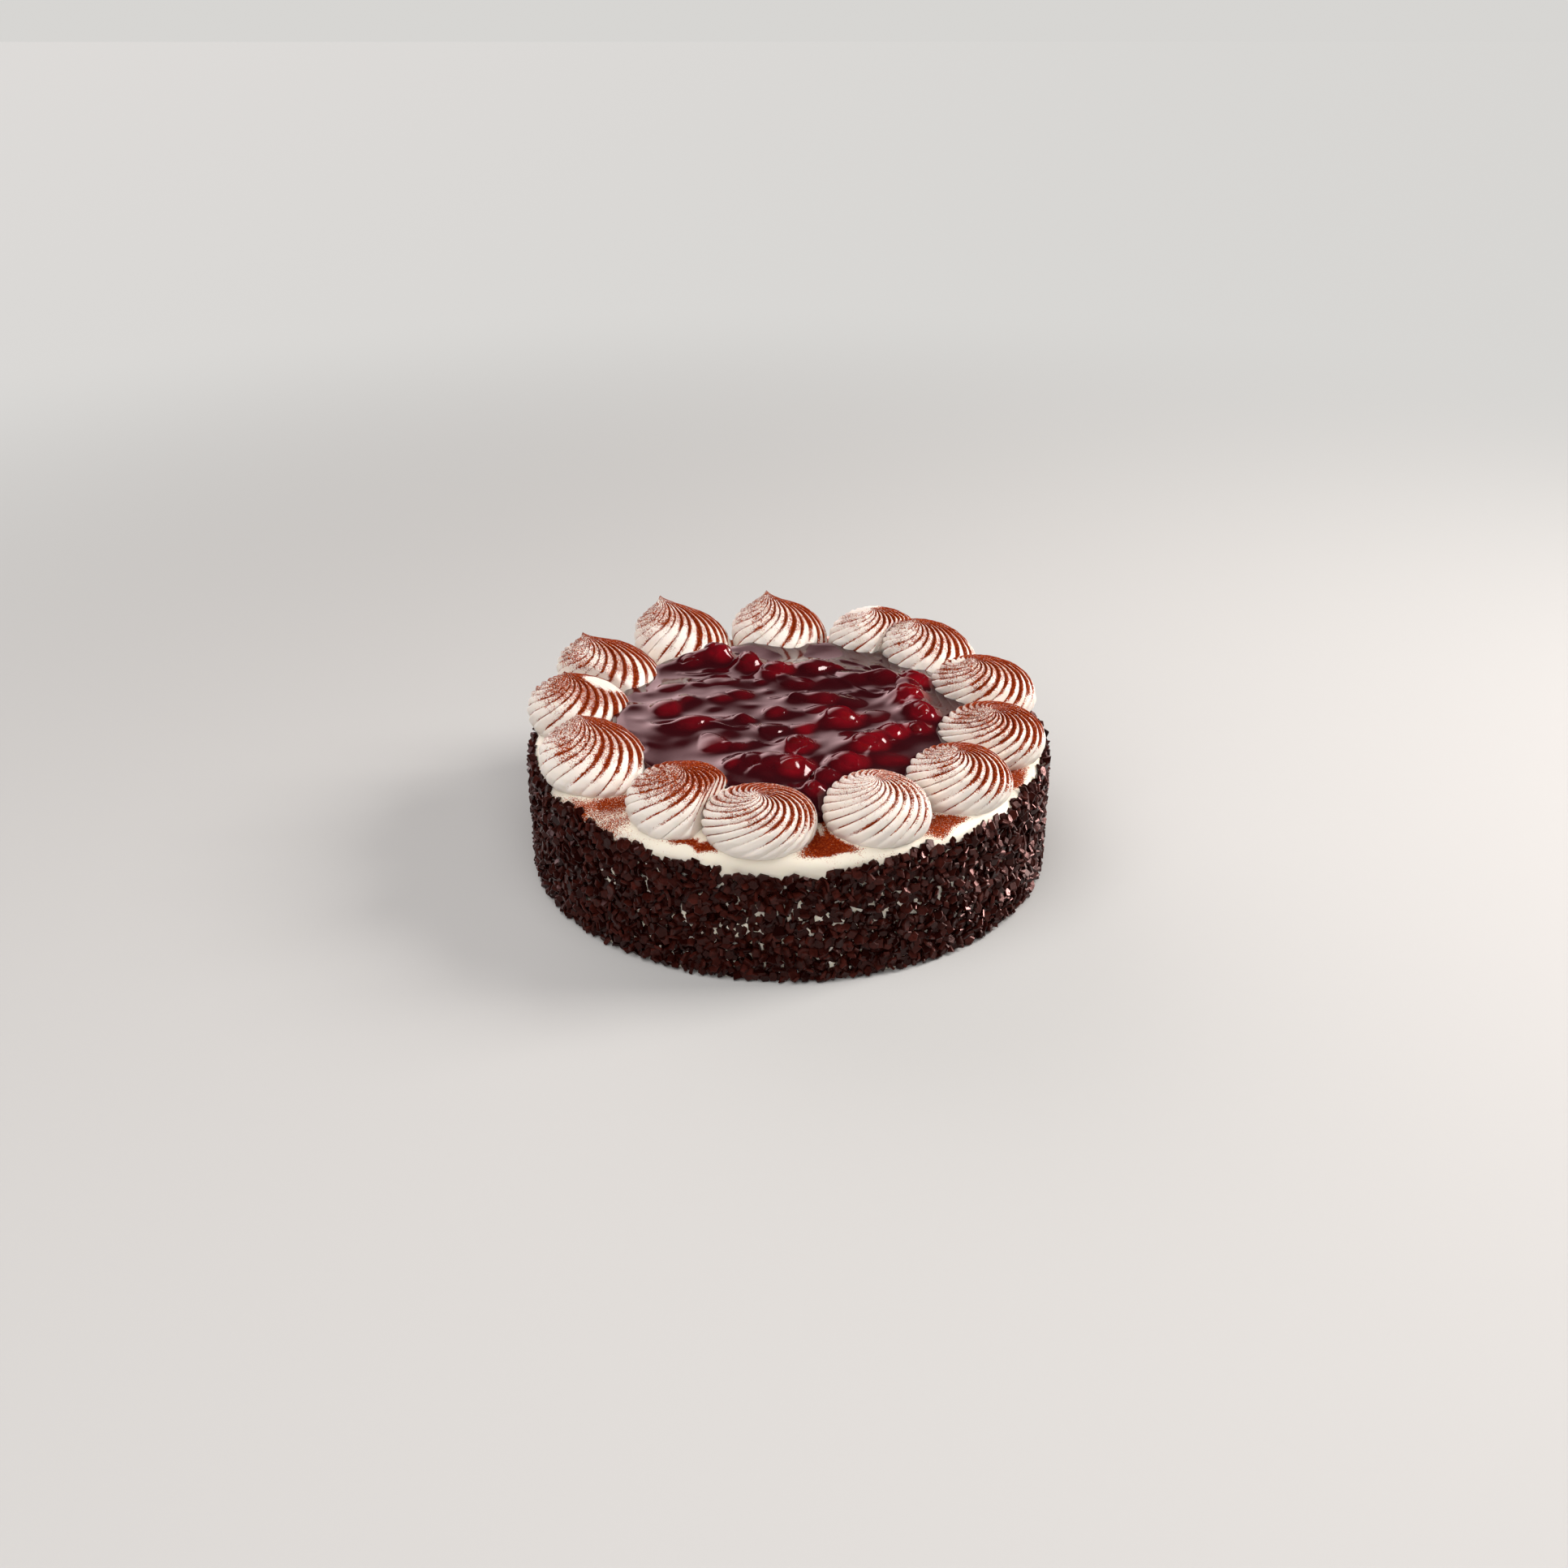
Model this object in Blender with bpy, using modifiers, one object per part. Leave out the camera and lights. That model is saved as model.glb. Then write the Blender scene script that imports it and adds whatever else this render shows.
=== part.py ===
"""Round cherry cake: cream-iced core with a coat of chocolate flakes, a ring of piped cream
rosettes and a pool of cherry jelly inside the ring.

Origin at the middle of the flat underside, +Z up, metres. The front of the cake faces -Y.
"""
import itertools
import math
import random

import bmesh
import bpy
from mathutils import Euler, Matrix, Vector

MM = 0.001
GAP = 0.3 * MM                      # between neighbouring solids

# Core: a 9 inch cake, iced with cream and rounded at its top edge
CAKE_HEIGHT = 55.2 * MM
CREAM_RADIUS = 111.6 * MM
SHOULDER = 4.0 * MM
CORE_STEPS = 80

# Coat of flakes on the side: a rough band with the largest flakes fused on
COAT_RADIUS = 113.2 * MM
COAT_TOP = 49.5 * MM
COAT_ROWS = 5
COAT_ROUGHNESS = 0.5 * MM
FLAKE_ROWS = 6
FLAKE_COLUMNS = 21
FLAKE_WIDTH = 6.0 * MM
FLAKE_THICKNESS = 1.4 * MM
FLAKE_REACH = 115.4 * MM            # no flake stands further out
FLAKE_TILT = math.radians(34)

# Rosettes: 13 piped buns, touching side by side around the rim
RIDGES = 16
GROOVE_DEPTH = 0.11                 # of the radius
ROSETTE_RINGS = (                   # height, radius and twist in degrees, up the dome
    (0.00, 0.90, 0), (0.12, 0.98, 3), (0.32, 1.00, 10), (0.58, 0.88, 26), (0.79, 0.62, 52), (0.93, 0.27, 88))
ROSETTES = (                        # centre x, y, radius, height; tip's lean x, y and height, in mm
    (-3.2, 92.2, 22.9, 23.1, -5.5, 4.3, 28.5),
    (42.1, 84.6, 22.5, 24.0, -1.7, 0.6, 24.8),
    (68.2, 66.0, 22.1, 24.1, -8.0, 2.0, 25.3),
    (89.7, 30.6, 23.2, 23.4, -5.9, -4.4, 24.2),
    (87.0, -16.2, 23.3, 22.2, -0.6, -7.5, 23.0),
    (70.1, -58.0, 21.4, 22.8, -2.0, -3.5, 23.6),
    (34.6, -83.0, 21.6, 22.8, -0.4, -3.9, 23.6),
    (-11.3, -90.6, 22.7, 21.2, -0.4, -6.8, 22.1),
    (-43.7, -75.9, 21.8, 21.4, 0.3, 0.9, 22.4),
    (-80.2, -40.7, 22.6, 20.3, -6.0, 6.0, 25.0),
    (-91.1, 8.1, 22.4, 22.0, -6.0, 1.2, 25.5),
    (-79.6, 42.9, 23.4, 23.1, -11.0, 3.4, 28.0),
    (-48.6, 81.2, 22.3, 24.0, -9.5, 5.9, 29.3))
PIPED_OVER = ((2, 1), (7, 8), (10, 11))     # the first stays round and the second gives way
FULL_SHARE = 0.96                           # how much of its radius the first keeps there

# Jelly: poured inside the ring, up against the rosettes
POOL_CENTRE = Vector((0.9, 2.0)) * MM
JELLY_LEVEL = 66.0 * MM
JELLY_REACH = 78.0 * MM             # how far it runs out between two rosettes
SPOUT_REACH = 85.0 * MM             # further out in the one wide gap at the front
SPOUT_BEARING = math.radians(-84)
SPOUT_WIDTH = math.radians(11)
JELLY_CLEARANCE = 0.6 * MM
JELLY_FOOT = (0.05, 0.12, 0.32)     # shares of a rosette's height that the jelly's sides pass,
JELLY_BRIM = (0.42, 0.50)           # low down and at its level
JELLY_SEGMENTS = 78
BUMP_RADIUS = 8.0 * MM
BUMP_RISE = 2.2 * MM
BUMPS = (                           # cherries covered by the jelly, centre x, y in mm
    (12.0, 42.0), (42.5, 30.0), (12.9, 8.5), (-31.3, -33.5), (-7.5, -19.5), (-8.0, 0.0), (-24.0, 16.5),
    (-42.5, -15.0), (-56.0, 6.0), (-1.5, 21.0), (-52.0, 31.0))

# Cherries: pitted, some torn, each standing out of the jelly
CHERRY_FLATTENING = 0.92
CHERRIES = (                        # centre x, y, radius, height of the top, in mm
    (-33.0, 57.5, 6.3, 73.5), (-45.5, 53.0, 6.0, 70.0), (-18.5, 50.5, 7.0, 72.0), (-6.0, 41.5, 7.5, 71.0),
    (56.5, 29.5, 7.2, 71.5), (52.5, 12.5, 8.0, 72.5), (57.5, -3.2, 7.0, 71.5), (54.8, -18.0, 6.3, 69.5),
    (22.1, -8.1, 8.5, 71.5), (32.0, -33.2, 8.0, 71.0), (43.5, -23.0, 6.5, 70.5), (3.0, -34.3, 8.0, 70.5),
    (-15.2, -51.5, 7.6, 71.0), (0.6, -54.0, 7.6, 71.5), (23.5, -50.5, 7.4, 71.0), (14.5, -61.5, 5.5, 69.5),
    (9.5, -71.5, 4.2, 69.0))


def clear_scene():
    for thing in list(bpy.data.objects):
        bpy.data.objects.remove(thing, do_unlink=True)


def new_collection(name):
    collection = bpy.data.collections.new(name)
    bpy.context.scene.collection.children.link(collection)
    return collection


def new_material(name, colour, roughness):
    material = bpy.data.materials.new(name)
    material.use_nodes = True
    shader = material.node_tree.nodes["Principled BSDF"]
    shader.inputs["Base Color"].default_value = (*colour, 1)
    shader.inputs["Roughness"].default_value = roughness
    shader.inputs["Metallic"].default_value = 0
    material.diffuse_color = (*colour, 1)
    return material


def new_object(name, shape, collection, material=None, smooth=False):
    """Close the bmesh into a named object of the collection."""
    mesh = bpy.data.meshes.new(name)
    shape.to_mesh(mesh)
    shape.free()
    if smooth:
        mesh.shade_smooth()
        mesh.set_sharp_from_angle(angle=math.radians(40))
    thing = bpy.data.objects.new(name, mesh)
    collection.objects.link(thing)
    if material:
        mesh.materials.append(material)
    return thing


def fuse(target, pieces):
    """Join every object of the collection to the target by one Boolean, and remove them."""
    join = target.modifiers.new("fuse", "BOOLEAN")
    join.operation = "UNION"
    join.operand_type = "COLLECTION"
    join.collection = pieces
    join.solver = "EXACT"
    evaluated = target.evaluated_get(bpy.context.evaluated_depsgraph_get())
    joined = bpy.data.meshes.new_from_object(evaluated)
    target.modifiers.remove(join)
    target.data = joined
    for piece in list(pieces.objects):
        bpy.data.objects.remove(piece, do_unlink=True)
    bpy.data.collections.remove(pieces)


def extruded_ring(shape, edges):
    """Extrude a closed loop of edges in place; return the new vertices and edges."""
    geometry = bmesh.ops.extrude_edge_only(shape, edges=edges)["geom"]
    verts = [item for item in geometry if isinstance(item, bmesh.types.BMVert)]
    loop = [item for item in geometry if isinstance(item, bmesh.types.BMEdge)
            and item.verts[0] in verts and item.verts[1] in verts]
    return verts, loop


# Cake core and its coat

def core_outline():
    """Half section of the cake, from the axis over the top and down the side: radius, height."""
    points = [(0.0, CAKE_HEIGHT)]
    for step in range(4):
        turn = math.radians(90 - 30 * step)
        points.append((CREAM_RADIUS - SHOULDER + SHOULDER * math.cos(turn),
                       CAKE_HEIGHT - SHOULDER + SHOULDER * math.sin(turn)))
    for row in range(COAT_ROWS + 1):
        points.append((COAT_RADIUS, COAT_TOP * 0.97 * (1 - row / COAT_ROWS)))
    points.append((0.0, 0.0))
    return points


def make_core(collection, material):
    section = bmesh.new()
    corners = [section.verts.new((radius, 0, height)) for radius, height in core_outline()]
    for upper, lower in zip(corners, corners[1:]):
        section.edges.new((upper, lower))
    core = new_object("cake", section, collection, material)
    turn = core.modifiers.new("turn", "SCREW")
    turn.axis = "Z"
    turn.steps = CORE_STEPS
    turn.render_steps = CORE_STEPS
    turn.use_merge_vertices = True
    turn.merge_threshold = 0.01 * MM
    turned = bpy.data.meshes.new_from_object(core.evaluated_get(bpy.context.evaluated_depsgraph_get()))
    core.modifiers.remove(turn)
    core.data = turned
    return core


def roughen_coat(core, draw):
    """Push the vertices of the side in and out, so that the band is as uneven as its flakes."""
    for vertex in core.data.vertices:
        radius = math.hypot(vertex.co.x, vertex.co.y)
        if radius > COAT_RADIUS - 0.1 * MM:
            grown = (radius + draw.uniform(-1, 1) * COAT_ROUGHNESS) / radius
            vertex.co.x *= grown
            vertex.co.y *= grown


def make_flake(name, bearing, height, draw, collection):
    """One squarish flake, half sunk in the coat at any angle."""
    shape = bmesh.new()
    bmesh.ops.create_cube(shape, size=1)
    size = FLAKE_WIDTH * draw.uniform(0.85, 1.15)
    bmesh.ops.scale(shape, verts=shape.verts, vec=(FLAKE_THICKNESS, size, size * draw.uniform(0.7, 0.95)))
    lean = Euler((draw.uniform(0, math.pi), draw.uniform(-1, 1) * FLAKE_TILT, draw.uniform(-1, 1) * FLAKE_TILT))
    bmesh.ops.rotate(shape, verts=shape.verts, matrix=lean.to_matrix())
    outermost = max(vertex.co.x for vertex in shape.verts)
    centre = min(FLAKE_REACH - outermost, COAT_RADIUS - 0.1 * MM)
    bmesh.ops.translate(shape, verts=shape.verts, vec=(centre, 0, height))
    bmesh.ops.rotate(shape, verts=shape.verts, matrix=Matrix.Rotation(bearing, 3, "Z"))
    return new_object(name, shape, collection)


def make_cake(collection, material):
    draw = random.Random(41)
    core = make_core(collection, material)
    roughen_coat(core, draw)
    flakes = new_collection("flakes")
    lowest = 0.75 * FLAKE_WIDTH
    highest = COAT_TOP - 0.25 * FLAKE_WIDTH
    for row in range(FLAKE_ROWS):
        for column in range(FLAKE_COLUMNS):
            place = column + 0.5 * (row % 2) + draw.uniform(-0.3, 0.3)
            level = (row + (draw.uniform(-0.3, 0.3) if 0 < row else 0)) / (FLAKE_ROWS - 1)
            height = lowest + (highest - lowest) * min(level, 1.05)
            make_flake(f"flake_{row}_{column}", math.tau * place / FLAKE_COLUMNS, height, draw, flakes)
    fuse(core, flakes)
    return core


# Rosettes

def ring_matrix(radius, height, lean, level):
    """Place of the star-shaped outline at one level of the dome, from a star of radius 1."""
    up, out, twist = level
    shift = lean * up ** 1.5
    size = radius * out
    return (Matrix.Translation((shift.x, shift.y, height * up))
            @ Matrix.Rotation(math.radians(twist), 4, "Z")
            @ Matrix.Diagonal((size, size, 1, 1)))


def make_rosette(name, row, planes, collection, material):
    """Loft a star outline up a dome with a twist, close it at the tip and trim it at its neighbours."""
    x, y, radius, height, lean_x, lean_y, tip = [value * MM for value in row]
    lean = Vector((lean_x, lean_y, 0))
    shape = bmesh.new()
    ring = bmesh.ops.create_circle(shape, cap_ends=True, radius=1, segments=2 * RIDGES)["verts"]
    for groove in ring[1::2]:
        groove.co *= 1 - GROOVE_DEPTH
    edges = list(shape.edges)
    place = ring_matrix(radius, height, lean, ROSETTE_RINGS[0])
    bmesh.ops.transform(shape, matrix=place, verts=ring)
    for level in ROSETTE_RINGS[1:]:
        ring, edges = extruded_ring(shape, edges)
        next_place = ring_matrix(radius, height, lean, level)
        bmesh.ops.transform(shape, matrix=next_place @ place.inverted(), verts=ring)
        place = next_place
    ring, edges = extruded_ring(shape, edges)
    bmesh.ops.pointmerge(shape, verts=ring, merge_co=(lean_x, lean_y, tip))
    bmesh.ops.translate(shape, verts=shape.verts, vec=(x, y, CAKE_HEIGHT + GAP))
    for point, normal in planes:
        for vertex in shape.verts:
            beyond = (vertex.co - point).dot(normal)
            if beyond > 0:
                vertex.co -= normal * beyond
    bmesh.ops.recalc_face_normals(shape, faces=shape.faces)
    return new_object(name, shape, collection, material, smooth=True)


def contact_planes(index):
    """Where a rosette is squashed flat against the ones beside it: point and normal of each plane."""
    x, y, radius = ROSETTES[index][:3]
    planes = []
    for other in ((index - 1) % len(ROSETTES), (index + 1) % len(ROSETTES)):
        other_x, other_y, other_radius = ROSETTES[other][:3]
        apart = Vector((other_x - x, other_y - y, 0))
        distance = apart.length
        reach = (distance ** 2 + radius ** 2 - other_radius ** 2) / (2 * distance)
        if (index, other) in PIPED_OVER:
            reach = FULL_SHARE * radius
        elif (other, index) in PIPED_OVER:
            reach = distance - FULL_SHARE * other_radius
        normal = apart.normalized()
        planes.append((Vector((x, y, 0)) * MM + normal * (reach * MM - GAP / 2), normal))
    return planes


# Jelly

def ray_to_circle(bearing, centre, radius):
    """Distance from the pool's centre along a bearing to a circle, or None where it misses."""
    ray = Vector((math.cos(bearing), math.sin(bearing)))
    along = (centre - POOL_CENTRE).dot(ray)
    aside_squared = (centre - POOL_CENTRE).length_squared - along ** 2
    if along < 0 or aside_squared > radius ** 2:
        return None
    return along - math.sqrt(radius ** 2 - aside_squared)


def rosette_circle(row, up):
    """Centre and radius of a rosette's crests at a share of its height."""
    x, y, radius, _, lean_x, lean_y, _ = row
    for lower, upper in zip(ROSETTE_RINGS, ROSETTE_RINGS[1:]):
        if lower[0] <= up <= upper[0]:
            share = (up - lower[0]) / (upper[0] - lower[0])
            girth = lower[1] + share * (upper[1] - lower[1])
    shift = Vector((lean_x, lean_y)) * up ** 1.5
    return (Vector((x, y)) + shift) * MM, radius * girth * MM


def jelly_reach(bearing, levels):
    """How far the jelly runs before it meets a rosette, at any of these shares of its height."""
    off_spout = (bearing - SPOUT_BEARING + math.pi) % math.tau - math.pi
    reach = JELLY_REACH + (SPOUT_REACH - JELLY_REACH) * math.exp(-(off_spout / SPOUT_WIDTH) ** 2)
    for row, up in itertools.product(ROSETTES, levels):
        centre, radius = rosette_circle(row, up)
        met = ray_to_circle(bearing, centre, radius + JELLY_CLEARANCE)
        if met:
            reach = min(reach, met)
    return reach


def lay_jelly_ring(ring, height, levels):
    for vertex in ring:
        bearing = math.atan2(vertex.co.y, vertex.co.x)
        reach = jelly_reach(bearing, levels)
        vertex.co = (reach * math.cos(bearing), reach * math.sin(bearing), height)


def make_bump(name, x, y, collection):
    """The rise in the jelly over a covered cherry."""
    shape = bmesh.new()
    bmesh.ops.create_icosphere(shape, subdivisions=2, radius=BUMP_RADIUS)
    bmesh.ops.scale(shape, verts=shape.verts, vec=(1, 0.85, 0.5))
    centre = (x * MM, y * MM, JELLY_LEVEL + BUMP_RISE - 0.5 * BUMP_RADIUS)
    bmesh.ops.translate(shape, verts=shape.verts, vec=centre)
    return new_object(name, shape, collection)


def make_jelly(collection, material, cutters):
    shape = bmesh.new()
    ring = bmesh.ops.create_circle(shape, cap_ends=True, radius=1, segments=JELLY_SEGMENTS)["verts"]
    edges = list(shape.edges)
    lay_jelly_ring(ring, CAKE_HEIGHT + GAP, JELLY_FOOT)
    for height, levels in ((CAKE_HEIGHT + 7 * MM, JELLY_FOOT), (JELLY_LEVEL, JELLY_BRIM)):
        ring, edges = extruded_ring(shape, edges)
        lay_jelly_ring(ring, height, levels)
    bmesh.ops.edgeloop_fill(shape, edges=edges)
    bmesh.ops.translate(shape, verts=shape.verts, vec=(*POOL_CENTRE, 0))
    bmesh.ops.recalc_face_normals(shape, faces=shape.faces)
    jelly = new_object("jelly", shape, collection, material)
    bumps = new_collection("bumps")
    for number, (x, y) in enumerate(BUMPS):
        make_bump(f"bump_{number}", x, y, bumps)
    fuse(jelly, bumps)
    pockets = jelly.modifiers.new("pockets", "BOOLEAN")
    pockets.operation = "DIFFERENCE"
    pockets.operand_type = "COLLECTION"
    pockets.collection = cutters
    pockets.solver = "EXACT"
    return jelly


# Cherries

def cherry_shape(radius, turn, growth=0.0):
    """A cherry with a slight dimple where its pit came out; growth makes its pocket's cutter."""
    shape = bmesh.new()
    bmesh.ops.create_icosphere(shape, subdivisions=2, radius=1)
    for vertex in shape.verts:
        dimple = max(0.0, vertex.co.z - 0.8) * 0.5 + max(0.0, vertex.co.x - 0.75) * 0.4
        vertex.co *= 1 - dimple
    size = radius + growth
    bmesh.ops.scale(shape, verts=shape.verts, vec=(size, size, radius * CHERRY_FLATTENING + growth))
    bmesh.ops.rotate(shape, verts=shape.verts, matrix=Matrix.Rotation(turn, 3, "Z"))
    return shape


def make_cherries(collection, material, cutters):
    draw = random.Random(7)
    for number, row in enumerate(CHERRIES, 1):
        x, y, radius, top = [value * MM for value in row]
        turn = draw.uniform(0, math.tau)
        centre = (x, y, top - radius * CHERRY_FLATTENING)
        cherry = cherry_shape(radius, turn)
        cutter = cherry_shape(radius, turn, growth=1.3 * GAP)
        for shape in (cherry, cutter):
            bmesh.ops.translate(shape, verts=shape.verts, vec=centre)
        new_object(f"cherry_{number:02d}", cherry, collection, material, smooth=True)
        pocket = new_object(f"pocket_{number:02d}", cutter, cutters)
        pocket.hide_render = True
        pocket.display_type = "WIRE"


def main():
    clear_scene()
    parts = new_collection("cherry_cake")
    cutters = new_collection("cutters")
    coat = new_material("chocolate_coat", (0.045, 0.020, 0.016), 0.45)
    cream = new_material("piped_cream", (0.93, 0.88, 0.80), 0.60)
    jelly = new_material("cherry_jelly", (0.075, 0.008, 0.014), 0.08)
    cherry = new_material("cherry_flesh", (0.33, 0.008, 0.012), 0.15)
    make_cake(parts, coat)
    for index, row in enumerate(ROSETTES):
        make_rosette(f"rosette_{index + 1:02d}", row, contact_planes(index), parts, cream)
    make_cherries(parts, cherry, cutters)
    make_jelly(parts, jelly, cutters)


main()
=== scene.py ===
import math
import random

import bmesh
import bpy
import numpy as np
from mathutils import Matrix, Vector


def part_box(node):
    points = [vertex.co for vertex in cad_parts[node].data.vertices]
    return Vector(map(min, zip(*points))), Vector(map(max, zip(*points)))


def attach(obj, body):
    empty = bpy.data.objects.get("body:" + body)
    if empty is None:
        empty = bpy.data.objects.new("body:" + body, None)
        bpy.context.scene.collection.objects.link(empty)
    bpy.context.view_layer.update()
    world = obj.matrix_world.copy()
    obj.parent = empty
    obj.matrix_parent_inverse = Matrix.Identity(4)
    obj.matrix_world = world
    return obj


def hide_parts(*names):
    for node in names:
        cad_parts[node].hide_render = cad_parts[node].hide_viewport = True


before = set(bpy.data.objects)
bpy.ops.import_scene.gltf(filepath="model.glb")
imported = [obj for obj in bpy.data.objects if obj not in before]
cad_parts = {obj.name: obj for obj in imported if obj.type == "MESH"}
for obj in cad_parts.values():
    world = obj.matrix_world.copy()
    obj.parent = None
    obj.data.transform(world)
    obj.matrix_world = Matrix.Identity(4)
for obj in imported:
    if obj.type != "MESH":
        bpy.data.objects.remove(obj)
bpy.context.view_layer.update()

mm = 0.001
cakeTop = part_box("cake")[1][2]     # height of the iced top


# The rosettes: centre x, y, radius and height, the tip's lean x, y and height, in mm, how much cocoa
# lies on each, and how much its ridges wind. They run round the rim from the back, clockwise seen
# from above.

rosetteRows = (
    (-3.2, 92.2, 22.9, 23.1, -5.5, 4.3, 28.5, 0.90, 0.80),
    (42.1, 84.6, 22.5, 24.0, -1.7, 0.6, 24.8, 0.78, 0.80),
    (68.2, 66.0, 22.1, 24.1, -8.0, 2.0, 25.3, 1.00, 0.84),
    (89.7, 30.6, 23.2, 23.4, -5.9, -4.4, 24.2, 0.95, 0.92),
    (87.0, -16.2, 23.3, 22.2, -0.6, -7.5, 23.0, 0.95, 0.92),
    (70.1, -58.0, 21.4, 22.8, -2.0, -3.5, 23.6, 0.85, 0.89),
    (34.6, -83.0, 21.6, 22.8, -0.4, -3.9, 23.6, 0.50, 0.86),
    (-11.3, -90.6, 22.7, 21.2, -0.4, -6.8, 22.1, 0.65, 0.96),
    (-43.7, -75.9, 21.8, 21.4, 0.3, 0.9, 22.4, 1.15, 0.87),
    (-80.2, -40.7, 22.6, 20.3, -6.0, 6.0, 25.0, 0.95, 0.86),
    (-91.1, 8.1, 22.4, 22.0, -6.0, 1.2, 25.5, 1.15, 0.84),
    (-79.6, 42.9, 23.4, 23.1, -11.0, 3.4, 28.0, 1.00, 0.84),
    (-48.6, 81.2, 22.3, 24.0, -9.5, 5.9, 29.3, 0.95, 0.80))
pipedOver = ((2, 1), (7, 8), (10, 11))      # the first stays round where the two meet
fullShare = 0.96

# The cherries that stand out of the jelly: centre x, y, radius and height of the top, in mm, how
# much longer than wide, which way that length lies in degrees, and how bright the red is.
cherryRows = (
    (-33.0, 57.5, 6.3, 73.5, 1.20, -10, 0.95), (-45.5, 53.0, 6.0, 70.0, 1.15, 25, 0.25),
    (-18.5, 50.5, 7.0, 72.0, 1.15, -75, 0.55), (-6.0, 41.5, 7.5, 71.0, 1.18, 8, 0.70),
    (56.5, 29.5, 7.2, 71.5, 1.15, -30, 1.00), (52.5, 12.5, 8.0, 72.5, 1.22, -66, 1.00),
    (57.5, -3.2, 7.0, 71.5, 1.25, -66, 0.85), (54.8, -18.0, 6.3, 69.5, 1.05, -12, 0.45),
    (22.1, -8.1, 8.5, 71.5, 1.12, 6, 0.80), (32.0, -33.2, 8.0, 71.0, 1.10, 5, 0.80),
    (43.5, -23.0, 6.5, 70.5, 1.22, 32, 0.95), (3.0, -34.3, 8.0, 70.5, 1.05, 8, 0.60),
    (-15.2, -51.5, 7.6, 71.0, 1.22, -12, 0.15), (0.6, -54.0, 7.6, 71.5, 1.22, -12, 0.85),
    (23.5, -50.5, 7.4, 71.0, 1.15, 13, 0.75), (14.5, -61.5, 5.5, 69.5, 1.10, 0, 0.30),
    (9.5, -71.5, 4.2, 69.0, 1.10, 30, 0.55))


# Small helpers

def smoothStep(low, high, value):
    share = np.clip((value - low) / (high - low), 0, 1)
    return share * share * (3 - 2 * share)


def waves(points, size, seed, count=10):
    # An uneven field of about -1 to 1, whose hills are about that size across.
    draw = np.random.default_rng(seed)
    total = np.zeros(len(points))
    for _ in range(count):
        direction = draw.normal(size=points.shape[1])
        direction *= draw.uniform(0.6, 1.4) * math.pi / size / np.linalg.norm(direction)
        total += np.sin(points @ direction + draw.uniform(0, math.tau))
    return total / math.sqrt(count)


def smoothCurve(corners, count):
    # Rounded line through the corners, as evenly spaced points.
    corners = np.array(corners, float)
    padded = np.vstack([2 * corners[0] - corners[1], corners, 2 * corners[-1] - corners[-2]])
    share = np.linspace(0, 1, 24, endpoint=False)[:, None]
    line = []
    for before, here, there, after in zip(padded, padded[1:], padded[2:], padded[3:]):
        line.append(0.5 * (2 * here + (there - before) * share
                           + (2 * before - 5 * here + 4 * there - after) * share ** 2
                           + (3 * here - before - 3 * there + after) * share ** 3))
    line = np.vstack(line + [corners[-1:]])
    walked = np.concatenate([[0], np.cumsum(np.linalg.norm(np.diff(line, axis=0), axis=1))])
    even = np.linspace(0, walked[-1], count)
    return np.stack([np.interp(even, walked, line[:, axis]) for axis in range(corners.shape[1])], axis=1)


def readPoints(mesh):
    points = np.empty(len(mesh.vertices) * 3, np.float32)
    mesh.vertices.foreach_get("co", points)
    return points.reshape(-1, 3).astype(float)


def writePoints(mesh, points):
    mesh.vertices.foreach_set("co", np.ascontiguousarray(points, np.float32).ravel())
    mesh.update()


def writeAttribute(mesh, name, values):
    layer = mesh.attributes.new(name, "FLOAT", "POINT")
    layer.data.foreach_set("value", np.ascontiguousarray(values, np.float32))


def turnedMesh(name, corners, steps):
    # Spins a half section (radius, height), whose ends lie on the axis, into a closed mesh.
    bm = bmesh.new()
    verts = [bm.verts.new((radius, 0, height)) for radius, height in corners]
    edges = [bm.edges.new(pair) for pair in zip(verts, verts[1:])]
    bmesh.ops.spin(bm, geom=verts + edges, cent=(0, 0, 0), axis=(0, 0, 1), angle=math.tau,
                   steps=steps, use_merge=True, use_normal_flip=False)
    poles = [vert for vert in bm.verts if math.hypot(vert.co.x, vert.co.y) < 1e-7]
    bmesh.ops.remove_doubles(bm, verts=poles, dist=1e-6)
    bmesh.ops.recalc_face_normals(bm, faces=bm.faces)
    mesh = bpy.data.meshes.new(name)
    bm.to_mesh(mesh)
    bm.free()
    return mesh


def placePiece(name, mesh, material, nodes=(), smooth=True):
    piece = bpy.data.objects.new(name, mesh)
    bpy.context.scene.collection.objects.link(piece)
    mesh.materials.append(material)
    if smooth:
        mesh.shade_smooth()
    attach(piece, "root")
    if nodes:
        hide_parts(*nodes)
    return piece


# Materials

def newMaterial(name):
    material = bpy.data.materials.new(name)
    material.use_nodes = True
    return material, material.node_tree, material.node_tree.nodes["Principled BSDF"]


def addNode(tree, kind, inputs=None, **settings):
    node = tree.nodes.new(kind)
    for key, value in settings.items():
        setattr(node, key, value)
    for key, value in (inputs or {}).items():
        if isinstance(value, bpy.types.NodeSocket):
            tree.links.new(value, node.inputs[key])
        else:
            node.inputs[key].default_value = value
    return node


def objectNoise(tree, size, detail=2.0, roughness=0.5, distortion=0.0):
    # Noise on Object coordinates, with lumps of about that size in metres.
    place = addNode(tree, "ShaderNodeTexCoord")
    return addNode(tree, "ShaderNodeTexNoise", {
        "Vector": place.outputs["Object"], "Scale": 1 / size, "Detail": detail,
        "Roughness": roughness, "Distortion": distortion}).outputs["Fac"]


def attributeFac(tree, name):
    return addNode(tree, "ShaderNodeAttribute", attribute_name=name).outputs["Fac"]


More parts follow.
